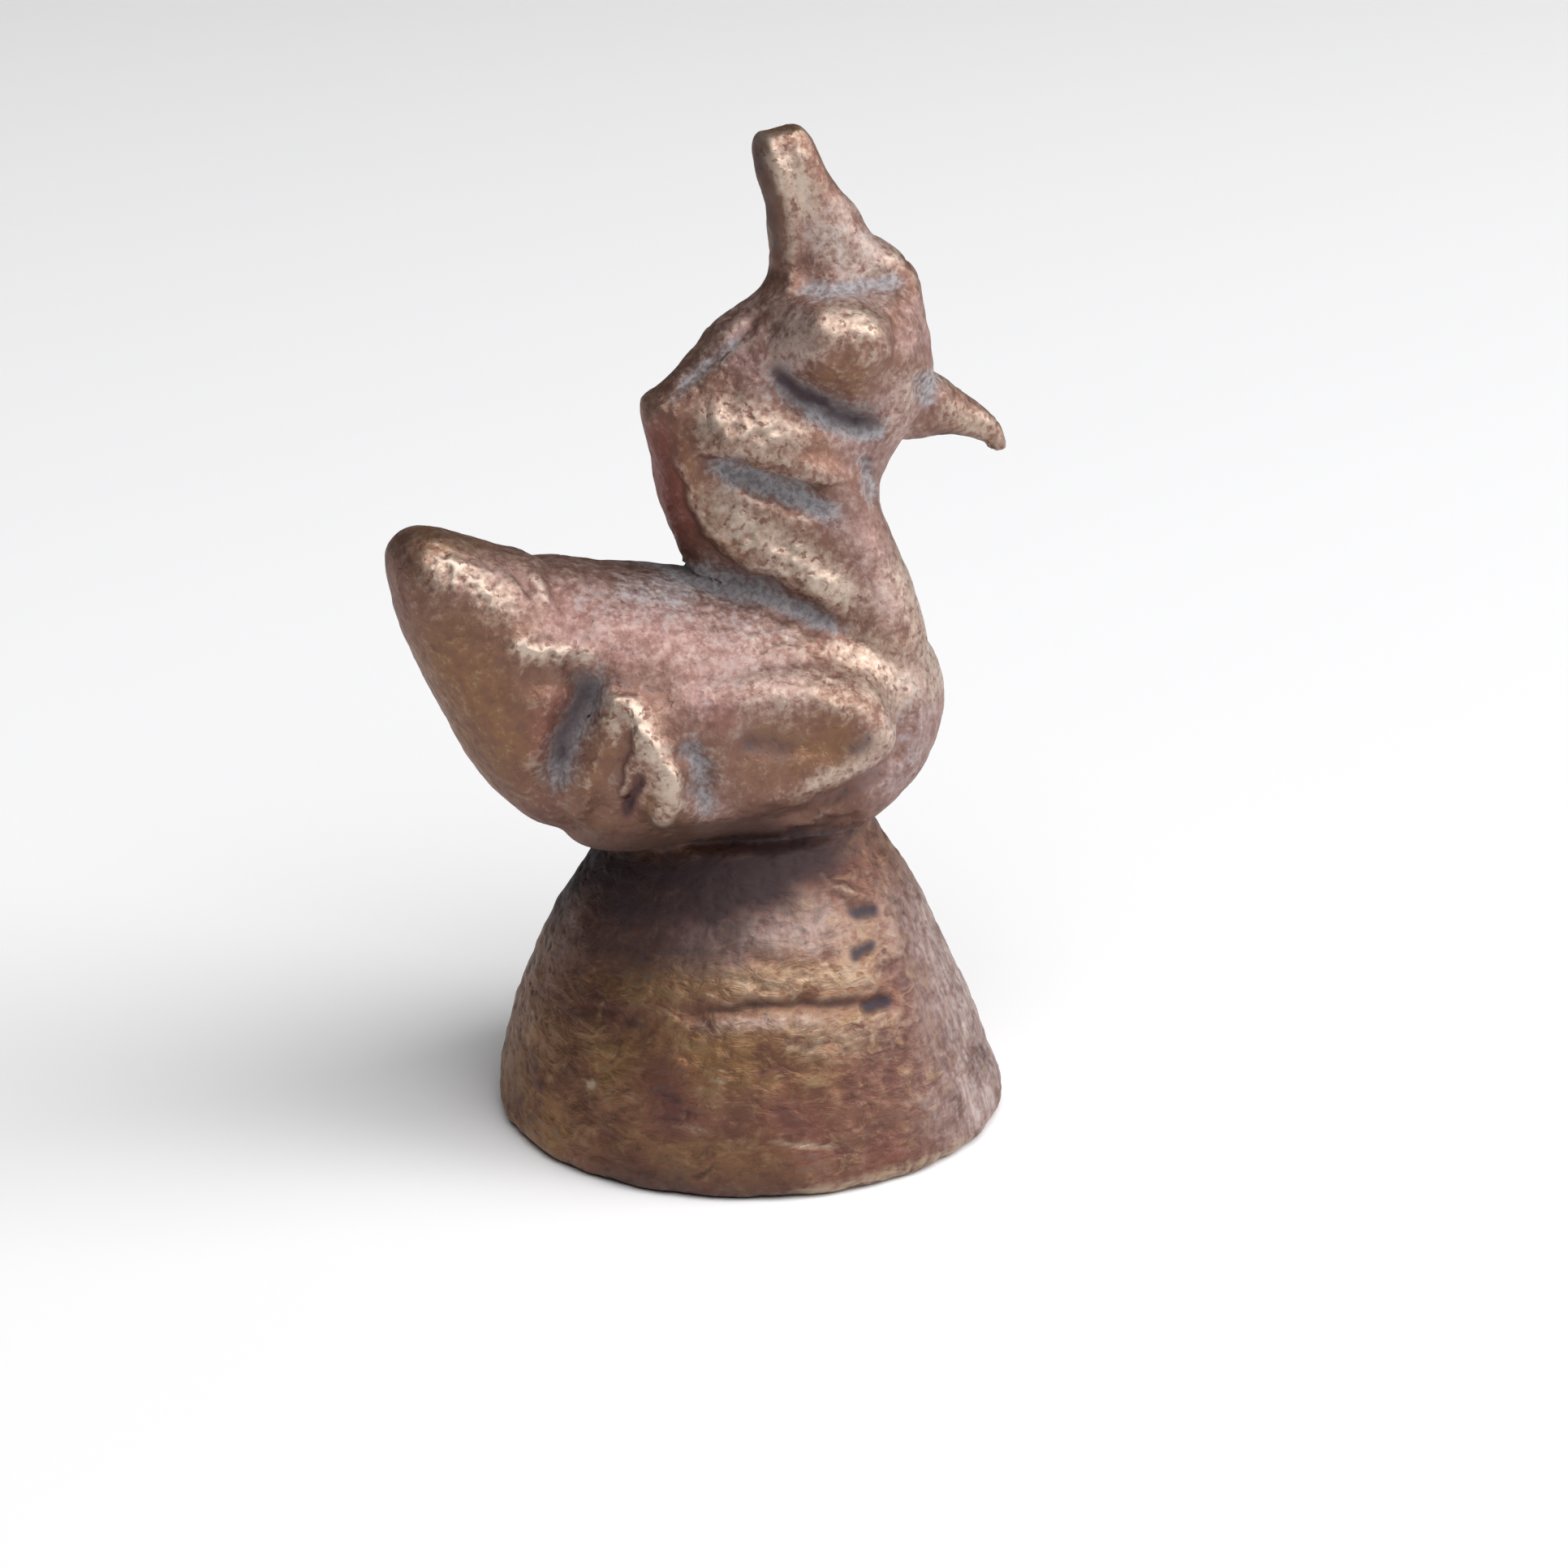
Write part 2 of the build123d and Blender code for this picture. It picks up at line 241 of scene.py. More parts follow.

# Stains and painted light (highlights, sheen, warm reflections and shade): strength, width and line
STAIN_LINES = {
    # Wear lines: worn ridges, and painted highlights on the ridges and tops that catch the light
    "wear_and_highlight": (
        (0.90, 0.9, [(958, 165), (985, 230), (1002, 290)]),
        (0.62, 1.8, [(980, 260), (1060, 320), (1130, 350)]),
        (0.40, 1.2, [(1100, 440), (1115, 500), (1080, 552)]),
        (0.60, 1.3, [(1000, 388), (1100, 398)]),
        (0.50, 1.4, [(978, 375), (972, 425), (940, 490)]),
        (0.70, 1.4, [(830, 520), (910, 510), (1010, 560)]),
        (0.85, 1.2, [(840, 580), (910, 640), (1000, 700), (1095, 770)]),
        (0.22, 1.6, [(640, 740), (760, 780), (900, 790)]),
        (0.32, 1.4, [(880, 780), (960, 800), (1050, 820)]),
        (0.58, 1.1, [(500, 684), (560, 705), (660, 768)]),
        (0.60, 0.7, [(612, 798), (680, 806), (748, 802)]),
        (0.66, 0.9, [(766, 835), (790, 892), (818, 940), (826, 980), (805, 1030)]),
        (0.60, 0.35, [(756, 840), (760, 880), (757, 930)]),
        (0.42, 1.8, [(880, 845), (980, 840), (1080, 850)]),
        (0.75, 1.8, [(1010, 780), (1090, 830), (1145, 880)]),
        (0.60, 0.6, [(1098, 860), (1090, 908), (1041, 949), (955, 984)]),
        (0.75, 1.7, [(1100, 650), (1150, 770), (1160, 890)]),
        (0.50, 0.9, [(1155, 495), (1230, 540)]),
    ),
    # Bloom lines: a pale pinkish film, partly a painted sheen on lit and grazing faces such as the back and
    # the breast
    "bloom_and_sheen": (
        (1.0, 1.8, [(990, 240), (1040, 310), (1110, 335)]),
        (0.8, 1.2, [(935, 335), (905, 420), (965, 500)]),
        (1.2, 1.4, [(1000, 370), (972, 410), (975, 470)]),
        (1.0, 1.3, [(1105, 440), (1112, 500), (1085, 552), (1020, 565)]),
        (0.8, 0.9, [(1010, 372), (1060, 366), (1110, 375)]),
        (0.9, 1.3, [(1030, 580), (1070, 680), (1130, 800)]),
        (0.9, 1.8, [(1110, 780), (1140, 870), (1115, 950), (1050, 1010)]),
        (1.0, 2.4, [(620, 730), (740, 760), (860, 790), (1000, 805)]),
        (1.0, 1.9, [(800, 850), (900, 835), (1020, 825)]),
        (0.8, 1.2, [(1115, 450), (1140, 400), (1128, 350)]),
        (0.6, 1.3, [(540, 685), (640, 720), (700, 800)]),
        (0.7, 1.0, [(860, 960), (880, 1000), (850, 1030)]),
    ),
    # Golden lines: golden tone on rims and tips, and a painted warm reflection on shaded faces such as the
    # crest's rear face, the tail's lower flank, the neck's rear edge and the wing's underside
    "golden_and_warm_shade": (
        (1.0, 1.6, [(485, 670), (540, 655), (620, 674)]),
        (1.0, 0.6, [(915, 165), (955, 150), (1000, 160)]),
        (1.0, 3.2, [(510, 740), (570, 860), (680, 980)]),
        (1.0, 1.6, [(900, 905), (990, 925), (1080, 905)]),
        (0.8, 1.3, [(690, 1000), (790, 1035), (920, 1010)]),
        (0.7, 1.1, [(985, 455), (1085, 468)]),
        (1.0, 0.9, [(926, 165), (948, 250), (956, 335)]),
        (0.8, 0.6, [(826, 500), (850, 590), (880, 650), (945, 710)]),
        (0.7, 0.7, [(1165, 515), (1225, 545)]),
        (0.8, 0.8, [(765, 845), (745, 910), (715, 1000)]),
        (1.0, 0.5, [(788, 965), (806, 1000), (796, 1036)]),
        (0.5, 1.6, [(1040, 780), (1100, 830), (1150, 880)]),
    ),
    # Copper lines: copper tone, and a painted warm reflection on shaded faces such as the neck's rear and
    # the tail's lower edge
    "copper_and_warm_reflection": (
        (1.3, 1.1, [(795, 500), (822, 610), (850, 695)]),
        (0.9, 0.8, [(700, 840), (675, 890), (660, 950)]),
        (1.0, 0.4, [(795, 955), (782, 982), (762, 1018)]),
        (0.9, 1.1, [(660, 745), (770, 768), (880, 775)]),
        (0.7, 1.0, [(690, 790), (740, 795), (800, 810)]),
        (0.8, 0.9, [(840, 840), (880, 875), (910, 905)]),
        (0.5, 1.0, [(905, 400), (925, 450), (960, 480)]),
    ),
    "tarnish": (
        (0.9, 0.6, [(965, 360), (1026, 358), (1068, 350), (1138, 345)]),
        (0.4, 1.6, [(995, 260), (1060, 315), (1130, 340)]),
        (0.9, 1.0, [(945, 430), (968, 474), (1010, 500), (1057, 520), (1105, 524)]),
        (1.2, 0.7, [(975, 498), (1030, 518), (1070, 530), (1110, 530)]),
        (0.8, 0.5, [(815, 500), (874, 446), (925, 402)]),
        (1.25, 0.7, [(850, 560), (905, 584), (950, 600), (1000, 620), (1056, 652)]),
        (0.8, 0.5, [(1058, 550), (1072, 590), (1080, 632)]),
        (0.9, 0.8, [(1130, 452), (1145, 475), (1132, 505)]),
        (1.0, 1.0, [(780, 702), (870, 714), (920, 724), (980, 745)]),
        (1.0, 0.6, [(880, 714), (950, 734), (1000, 758), (1055, 788)]),
        (0.7, 1.1, [(740, 722), (800, 730), (880, 745)]),
        (0.35, 1.3, [(850, 790), (920, 770), (990, 790)]),
        (0.40, 0.8, [(690, 735), (730, 745), (780, 760)]),
        (1.0, 0.9, [(748, 808), (728, 855), (704, 905), (672, 990)]),
        (0.8, 0.7, [(838, 895), (862, 945), (868, 985), (850, 1020)]),
        (0.4, 1.0, [(1130, 820), (1125, 930), (1075, 995)]),
    ),
    # Grime lines, mostly painted shade: the belly's underside and the crease over the foot, the crest's
    # rear face, the cheek crease, the slot and hollow beside the wing's fingers, the beak's lower edge and
    # the hollow under the wing's lobe, with some grime
    "grime_and_shade": (
        (1.3, 1.5, [(640, 1060), (800, 1084), (920, 1076), (1010, 1056), (1090, 1000)]),
        (0.75, 0.7, [(926, 150), (946, 250), (955, 340)]),
        (0.7, 0.4, [(797, 950), (782, 984), (760, 1022)]),
        (1.05, 0.42, [(946, 432), (966, 468), (1004, 492), (1042, 504)]),
        (0.70, 0.60, [(1000, 496), (1056, 516), (1100, 522)]),
        (0.7, 0.6, [(738, 820), (716, 862), (696, 905), (684, 960)]),
        (0.6, 1.2, [(680, 1025), (860, 1045), (1020, 1005)]),
        (0.6, 0.9, [(895, 905), (940, 925), (990, 935)]),
        (0.6, 0.5, [(1040, 925), (1065, 918), (1080, 905)]),
        (0.7, 0.3, [(1140, 530), (1195, 545), (1238, 560)]),
        (0.5, 0.4, [(1105, 940), (1060, 972), (990, 1005)]),
    ),
}
# The foot's stains and painted light: strength, width and line
FOOT_STAIN_LINES = {
    "wear_and_highlight": (
        (0.6, 0.7, [(860, 1218), (980, 1208), (1120, 1195)]),
        (0.9, 0.14, [(936, 1404), (1000, 1412), (1058, 1409)]),
        (0.8, 0.14, [(820, 1385), (880, 1393)]),
        (0.7, 0.14, [(868, 1330), (905, 1336)]),
        (0.6, 0.3, [(930, 1478), (1060, 1458), (1175, 1418), (1235, 1375)]),
        (0.5, 1.4, [(940, 1290), (1060, 1275), (1140, 1260)]),
        (0.4, 1.4, [(990, 1130), (1070, 1160), (1120, 1200)]),
    ),
    "bloom_and_sheen": (
        # painted reflection: pale sheen on the foot's right side and along its left edge
        (1.0, 2.4, [(1130, 1020), (1185, 1200), (1210, 1320), (1190, 1470)]),
        (1.0, 0.9, [(735, 1030), (695, 1100), (655, 1200)]),
        (0.5, 1.8, [(800, 1165), (960, 1150), (1080, 1140)]),
        (0.6, 0.35, [(850, 1268), (940, 1260), (1030, 1256)]),
    ),
    "golden_and_warm_shade": (
        (1.0, 1.2, [(640, 1212), (800, 1212), (960, 1205), (1110, 1190)]),
        (1.0, 2.4, [(630, 1290), (760, 1310), (900, 1300), (1080, 1310)]),
        (0.7, 1.8, [(680, 1390), (860, 1430), (1030, 1440)]),
        # painted warm reflection along the foot's left side
        (1.3, 2.2, [(635, 1210), (655, 1320), (690, 1450)]),
    ),
    "copper_and_warm_reflection": (
        (0.7, 0.5, [(1075, 1240), (1115, 1226)]),
        (1.3, 1.4, [(790, 1290), (825, 1350), (845, 1420)]),
        (1.2, 1.4, [(930, 1350), (985, 1390), (1020, 1440)]),
        # painted warm reflection along the foot's left side
        (0.4, 2.4, [(630, 1180), (650, 1310), (680, 1440)]),
        (0.9, 1.2, [(1080, 1400), (1110, 1440)]),
    ),
    "grime_and_shade": (
        # painted shadow: the first two lines darken the foot's top under the belly, with some grime
        (1.2, 2.2, [(680, 1075), (780, 1115), (880, 1105), (1030, 1045)]),
        (0.8, 2.4, [(670, 1140), (790, 1165), (880, 1150), (960, 1120)]),
        (0.6, 0.28, [(826, 1252), (910, 1241), (982, 1237), (1090, 1233)]),
        (0.7, 1.8, [(680, 1430), (860, 1480), (1040, 1480)]),
        (0.5, 1.1, [(800, 1280), (822, 1350), (840, 1420)]),
        (0.5, 1.0, [(950, 1350), (995, 1410)]),
        (0.8, 0.18, [(845, 1454), (884, 1434)]),
        (0.9, 0.22, [(690, 1246), (738, 1252)]),
        (0.8, 0.20, [(755, 1262), (805, 1266)]),
        (0.7, 0.20, [(690, 1200), (740, 1194)]),
    ),
}


def view_axes():
    """The photograph's right, up and backward directions."""
    turn = math.radians(VIEW_AZIMUTH)
    lift = math.radians(VIEW_ELEVATION)
    back = np.array((math.sin(turn) * math.cos(lift), -math.cos(turn) * math.cos(lift), math.sin(lift)))
    right = np.array((math.cos(turn), math.sin(turn), 0.0))
    return right, np.cross(back, right), back


VIEW_RIGHT, VIEW_UP, VIEW_BACK = view_axes()
VIEW_EYE = np.array(VIEW_AIM) + VIEW_BACK * VIEW_DISTANCE


def form_copy(form):
    """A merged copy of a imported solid's mesh, in millimetres."""
    copy = bmesh.new()
    copy.from_mesh(frame["nodes"][form].data)
    bmesh.ops.remove_doubles(copy, verts=copy.verts, dist=MERGE_GAP)
    bmesh.ops.scale(copy, vec=Vector((1, 1, 1)) / MM, verts=copy.verts)
    return copy


def casting_blank(copies):
    """All the forms joined under one even skin, as a new mesh."""
    joined = bmesh.new()
    for copy in copies.values():
        part = bpy.data.meshes.new("form")
        copy.to_mesh(part)
        joined.from_mesh(part)
        bpy.data.meshes.remove(part)
    mesh = bpy.data.meshes.new("blank")
    joined.to_mesh(mesh)
    joined.free()
    blank = bpy.data.objects.new("blank", mesh)
    bpy.context.scene.collection.objects.link(blank)
    remesh = blank.modifiers.new("skin", "REMESH")
    remesh.mode = "VOXEL"
    remesh.voxel_size = SKIN_PITCH
    evaluated = blank.evaluated_get(bpy.context.evaluated_depsgraph_get())
    skin = bpy.data.meshes.new_from_object(evaluated)
    bpy.data.objects.remove(blank)
    bpy.data.meshes.remove(mesh)
    return skin


def nearest_forms(points, copies):
    """Which form each point lies on, as an index into FORMS."""
    owner = np.zeros(len(points), int)
    best = np.full(len(points), np.inf)
    for index, form in enumerate(FORMS):
        tree = BVHTree.FromBMesh(copies[form])
        low, high = (np.array(corner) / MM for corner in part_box(form))
        near = ((points > low - SEARCH_GAP) & (points < high + SEARCH_GAP)).all(axis=1)
        for i in np.flatnonzero(near):
            gap = tree.find_nearest(points[i])[3]
            if gap < best[i]:
                best[i] = gap
                owner[i] = index
    return owner


def smooth_step(low, high, value):
    """A smooth rise from 0 to 1 as value goes from low to high."""
    share = np.clip((value - low) / (high - low), 0.0, 1.0)
    return share * share * (3 - 2 * share)


class Skin:
    """The casting's surface as arrays, with the moves of a wax worker's tools."""

    def __init__(self, mesh, copies):
        self.mesh = mesh
        self.at = np.empty((len(mesh.vertices), 3), np.float32)
        mesh.vertices.foreach_get("co", self.at.ravel())
        self.edges = np.empty((len(mesh.edges), 2), np.int32)
        mesh.edges.foreach_get("vertices", self.edges.ravel())
        self.degree = np.bincount(self.edges.ravel(), minlength=len(self.at))
        self.owner = nearest_forms(self.at, copies)
        self.stains = {name: np.zeros(len(self.at), np.float32) for name in STAINS}
        noise.seed_set(WOBBLE_SEED)
        drift = [noise.noise_vector(Vector(point) * WOBBLE_SCALE) for point in self.at.tolist()]
        self.wobble = WOBBLE_PIXELS * np.array(drift)[:, :2]
        self.refresh()

    def refresh(self):
        """Writes the points back and reads new normals and the points' places in the photograph."""
        self.mesh.vertices.foreach_set("co", self.at.ravel())
        self.mesh.update()
        self.normal = np.empty_like(self.at)
        self.mesh.vertex_normals.foreach_get("vector", self.normal.ravel())
        near_side = self.near_side()
        to_point = self.at * near_side - VIEW_EYE
        depth = -(to_point @ VIEW_BACK)
        self.pixel = self.wobble + PHOTO_SIZE / 2 + PHOTO_FOCAL / depth[:, None] * np.stack(
            (to_point @ VIEW_RIGHT, -(to_point @ VIEW_UP)), axis=1
        )
        to_eye = -to_point / np.linalg.norm(to_point, axis=1)[:, None]
        turned = (self.normal * near_side * to_eye).sum(axis=1)
        self.facing = smooth_step(*OUTLINE_FADE, turned)
        self.wrapped = smooth_step(*WRAP_FADE, turned)

    def near_side(self):
        """Signs that mirror the far flank's points to the near flank."""
        return np.where(self.at[:, 1:2] > 0, (1, -1, 1), (1, 1, 1))

    def on(self, forms):
        """Which points lie on the given forms."""
        return np.isin(self.owner, [FORMS.index(form) for form in forms])

    def neighbour_mean(self, values):
        """The mean of each point's neighbours."""
        first, second = self.edges.T
        total = np.zeros_like(values)
        for column in range(values.shape[1]):
            for here, there in ((first, second), (second, first)):
                total[:, column] += np.bincount(here, values[there, column], len(values))
        return total / self.degree[:, None]

    def relax(self, rounds, share=1.0):
        """Rubs the surface smooth."""
        for _ in range(rounds):
            self.at += RUB_STEP * np.reshape(share, (-1, 1)) * (self.neighbour_mean(self.at) - self.at)
        self.refresh()

    def along(self, line):
        """Each point's distance in millimetres from a drawn line, its side of it and its place along it."""
        line = np.array(line, float)
        lengths = np.linalg.norm(np.diff(line, axis=0), axis=1)
        total = lengths.sum()
        best = np.full(len(self.at), np.inf)
        side = np.zeros(len(self.at))
        place = np.zeros(len(self.at))
        done = 0.0
        for start, end, length in zip(line, line[1:], lengths):
            way = (end - start) / length
            offset = self.pixel - start
            reach = np.clip(offset @ way, 0, length)
            gap = np.linalg.norm(offset - reach[:, None] * way, axis=1)
            closer = gap < best
            best[closer] = gap[closer]
            across = offset[:, 1] * way[0] - offset[:, 0] * way[1]
            side[closer] = across[closer]
            place[closer] = (done + reach[closer]) / total
            done += length
        return best / PIXELS_PER_MM, side, place

    def stroke(self, line, width, forms, back_width=None, fade=STROKE_FADE, wrap=False, flank=0):
        """How strongly a drawn stroke touches each point, from 0 to 1.

        width is to the right of the line's direction, back_width to its left, in millimetres.
        A wrapping stroke goes on round the duck's outline.
        flank is 1 for a stroke on the left flank alone, -1 for one on the right flank alone.
        """
        gap, side, place = self.along(line)
        reach = np.where(side >= 0, width, back_width or width)
        touch = np.exp(-((gap / reach) ** 2))
        if fade:
            touch = touch * smooth_step(0, fade, place) * smooth_step(0, fade, 1 - place)
        if flank:
            touch = touch * smooth_step(*FLANK_FADE, self.at[:, 1] * flank)
        return touch * (self.wrapped if wrap else self.facing) * self.on(forms)

    def move(self, amount):
        """Moves each point out along its normal."""
        self.at += self.normal * np.reshape(amount, (-1, 1))

    def work(self, forms, lift, width, line, back_width=None, fade=STROKE_FADE, wrap=False, flank=0):
        """Raises the metal along a drawn line, or sinks it where lift is negative."""
        self.move(lift * self.stroke(line, width, forms, back_width, fade, wrap, flank))

    def rub(self, forms, rounds, width, line, wrap=False, flank=0):
        """Rubs the metal smooth along a drawn line."""
        self.relax(rounds, self.stroke(line, width, forms, fade=0, wrap=wrap, flank=flank))

    def dab(self, forms, lift, width, place, flank=0):
        """Raises or sinks a round lump at one place."""
        across, down = place
        self.work(forms, lift, width, [(across - 1, down), (across + 1, down)], fade=0, flank=flank)

    def push(self, forms, shift, width, line):
        """Pushes the metal beside a drawn line along the frame's axes, the same on both flanks."""
        touch = self.stroke(line, width, forms, fade=0, wrap=True)
        self.at += touch[:, None] * self.near_side() * np.array(shift)

    def stain(self, name, strength, width, line, forms=FORMS, fade=STROKE_FADE):
        """Stains the metal or paints light on it along a drawn line and on round the outline, where the
        strongest touch wins.
        """
        touch = strength * self.stroke(line, width, forms, fade=fade, wrap=True)
        self.stains[name] = np.maximum(self.stains[name], touch)

    def rubbed(self, rounds):
        """The points after the given rounds of rubbing, with the skin itself left alone."""
        points = self.at.copy()
        for _ in range(rounds):
            points += RUB_STEP * (self.neighbour_mean(points) - points)
        return points

    def uneven(self, scale, offset):
        """A noise value at each point."""
        scale, offset = Vector(scale), Vector(offset)
        return np.array([noise.noise(Vector(point) * scale + offset) for point in self.at.tolist()])


def fillet(wax, forms, rounds, reach):
    """Rubs a soft fillet into the joints between the given forms."""
    own = (wax.owner[:, None] == [FORMS.index(form) for form in forms]).astype(np.float32)
    claim = own
    for _ in range(reach):
        claim = wax.neighbour_mean(claim)
    border = 1 - claim.max(axis=1) / np.maximum(claim.sum(axis=1), LEAST_CLAIM)
    wax.relax(rounds, np.clip(FILLET_SLOPE * border, 0, 1) * own.sum(axis=1))


def true_outline(wax):
    """Brings the rear of the neck out to the photograph's outline, and flattens the foot's right side."""
    wax.work(("neck",), 0.36, 0.8, [(802, 575), (816, 625), (829, 670), (841, 710)], wrap=True)
    wax.push(("neck",), (-0.35, 0, 0), 1.2, [(836, 632), (852, 674), (866, 716)])
    wax.push(("neck",), (-0.28, 0, 0), 0.7, [(848, 648), (858, 672)])
    wax.work(("base",), -0.22, 2.0, [(1140, 1090), (1180, 1210), (1205, 1330)], wrap=True, flank=-1)
    wax.refresh()


def carve_head(wax):
    """Hollows and ridges of the head, the crest and the beak."""
    skull = ("head", "crest") + EYES
    under_eye = [(955, 440), (966, 476), (1005, 501), (1054, 520), (1092, 520)]
    wax.rub(skull + ("neck",), 80, 1.5, under_eye)
    wax.dab(skull, -1.10, 2.4, (1025, 405), flank=1)
    wax.work(skull, 0.50, 1.9, [(1000, 414), (1092, 426)], fade=0, flank=-1)
    wax.refresh()
    wax.rub(skull, 200, 2.0, [(950, 318), (956, 348), (938, 380)], wrap=True)
    wax.push(skull, (-0.50, 0, 0.05), 1.2, [(958, 290), (954, 318), (944, 346)])
    wax.rub(skull, 120, 1.2, [(1076, 290), (1102, 312), (1120, 330)], wrap=True)
    wax.work(skull, -0.42, 0.6, [(1072, 268), (1086, 282)], wrap=True, fade=0)
    wax.work(skull, 0.50, 0.7, [(1104, 312), (1126, 335)], wrap=True, fade=0)
    wax.work(skull, -0.28, 1.0, [(1152, 395), (1154, 430)], wrap=True, fade=0)
    wax.refresh()
    wax.rub(skull, 24, 0.7, [(1030, 235), (1062, 268), (1100, 306), (1136, 345)], wrap=True)
    wax.work(skull, -0.36, 0.55, [(974, 360), (1026, 358), (1068, 350), (1130, 345)])
    wax.work(skull, -0.36, 0.70, under_eye, 0.26)
    wax.work(skull, -0.25, 0.25, [(826, 490), (874, 446), (916, 411), (938, 382)])
    wax.work(skull, 0.14, 0.35, [(803, 484), (858, 440), (900, 402), (936, 360)])
    crest_ridge = [(940, 160), (952, 195), (964, 230), (974, 270), (974, 320), (968, 372)]
    wax.work(skull, 0.30, 0.35, crest_ridge, 0.40, 0.15)
    wax.work(skull, -0.14, 0.50, [(926, 160), (944, 230), (952, 285), (954, 330)])
    for lift, width, place in (
        (0.14, 0.6, (1012, 398)),
        (0.12, 0.7, (1074, 404)),
        (-0.14, 0.8, (1040, 450)),
    ):
        wax.dab(EYES, lift, width, place)
    wax.work(("head", "beak"), -0.30, 0.45, [(1132, 455), (1138, 485), (1128, 528)])
    wax.dab(("beak",), 0.25, 0.45, (1228, 550))
    wax.refresh()


def carve_neck(wax):
    """The two folds of the neck and the creases beside them."""
    throat = ("neck", "head")
    upper_edge = [(838, 552), (911, 556), (942, 565), (979, 583), (1015, 593), (1060, 593)]
    rear_edge = [(826, 520), (838, 560), (846, 590), (864, 638), (900, 674), (932, 700), (980, 725)]
    between_folds = [(862, 566), (900, 582), (942, 598), (990, 618), (1046, 648)]
    wax.rub(throat, 60, 1.3, between_folds)
    wax.work(throat, 0.30, 0.80, [(845, 515), (900, 520), (960, 535), (1020, 560)])
    wax.work(throat, 0.52, 0.18, upper_edge, 1.0)
    wax.work(throat, -0.28, 0.70, between_folds, 0.35)
    wax.refresh()
    wax.work(("neck", "body"), 0.50, 0.90, [(858, 600), (890, 645), (940, 680), (1000, 715), (1062, 762)])
    wax.work(("neck", "body"), 0.40, 0.22, rear_edge, 0.8)
    wax.work(throat, -0.35, 0.30, [(1062, 560), (1073, 590), (1080, 624)])
    wax.refresh()
    groove = [(832, 712), (890, 712), (932, 722), (973, 742), (1026, 767), (1050, 780)]
    wax.work(("neck", "body"), -0.42, 0.80, groove, 0.40)
    wax.refresh()
    wax.rub(("neck",), 60, 1.4, [(815, 535), (828, 590), (842, 645), (860, 695)], wrap=True, flank=1)


def carve_tail(wax):
    """The tail's ridge, its crease against the back and the knobbed edge under it."""
    wax.work(TRUNK, 0.26, 1.20, [(505, 692), (555, 705), (602, 725), (650, 755)], fade=0.4)
    wax.work(TRUNK, -0.28, 0.26, [(628, 688), (645, 718), (662, 744)], fade=0.4)
    wax.work(TRUNK, 0.14, 0.35, [(648, 698), (668, 728), (682, 750)])
    knobbed_edge = [(616, 800), (640, 797), (662, 808), (692, 813), (716, 806), (738, 801)]
    wax.work(TRUNK, 0.18, 0.32, knobbed_edge, 0.9)
    for lift, width, place in (
        (0.20, 0.50, (640, 796)),
        (0.18, 0.55, (693, 807)),
        (0.18, 0.50, (728, 801)),
    ):
        wax.dab(TRUNK, lift, width, place)
    wax.work(TRUNK, -0.40, 0.90, [(638, 838), (690, 842), (735, 832)])
    wax.refresh()


def carve_wing(wax):
    """The wing's lobe, the two fingers behind it and the hollows between them."""
    first_finger = [(770, 846), (784, 888), (806, 926), (826, 956), (829, 990), (812, 1024)]
    second_finger = [(762, 846), (750, 890), (738, 930), (722, 985), (708, 1015)]
    lobe_rim = [(1090, 855), (1094, 900), (1080, 926), (1041, 949), (975, 976), (905, 988)]
    under_rim = [(1108, 826), (1118, 885), (1108, 930), (1066, 966), (1000, 1000), (920, 1018)]
    wax.work(TRUNK, 0.45, 1.50, [(775, 850), (785, 920), (775, 1000)])
    wax.dab(TRUNK, 0.30, 2.4, (1040, 890))
    wax.refresh()
    wax.work(TRUNK, -1.05, 1.05, [(742, 818), (722, 862), (702, 912), (684, 960), (668, 1000)], 0.50)
    wax.refresh()
    wax.work(TRUNK, 0.46, 0.85, first_finger, 0.75, 0.10)
    wax.dab(TRUNK, 0.25, 1.10, (818, 962))
    wax.work(TRUNK, 0.34, 0.55, second_finger, fade=0.10)
    wax.refresh()
    wax.work(TRUNK, -0.45, 0.26, [(792, 950), (783, 975), (766, 1010)])
    wax.work(TRUNK, -0.22, 0.22, [(776, 880), (770, 930), (752, 985)])
    wax.work(TRUNK, -0.16, 0.18, [(808, 978), (802, 1000), (792, 1022)])
    wax.work(TRUNK, -0.60, 0.72, [(843, 904), (862, 942), (869, 975), (858, 1008)])
    wax.work(TRUNK, 0.12, 0.60, [(893, 872), (950, 862), (1020, 866), (1090, 892)], 1.4)
    wax.work(TRUNK, -0.48, 1.00, [(900, 905), (965, 918), (1030, 914), (1062, 904)])
    wax.refresh()
    wax.work(TRUNK, 0.30, 0.62, lobe_rim)
    wax.dab(TRUNK, 0.25, 0.90, (1078, 898))
    wax.work(TRUNK, -0.45, 0.42, under_rim)
    wax.refresh()


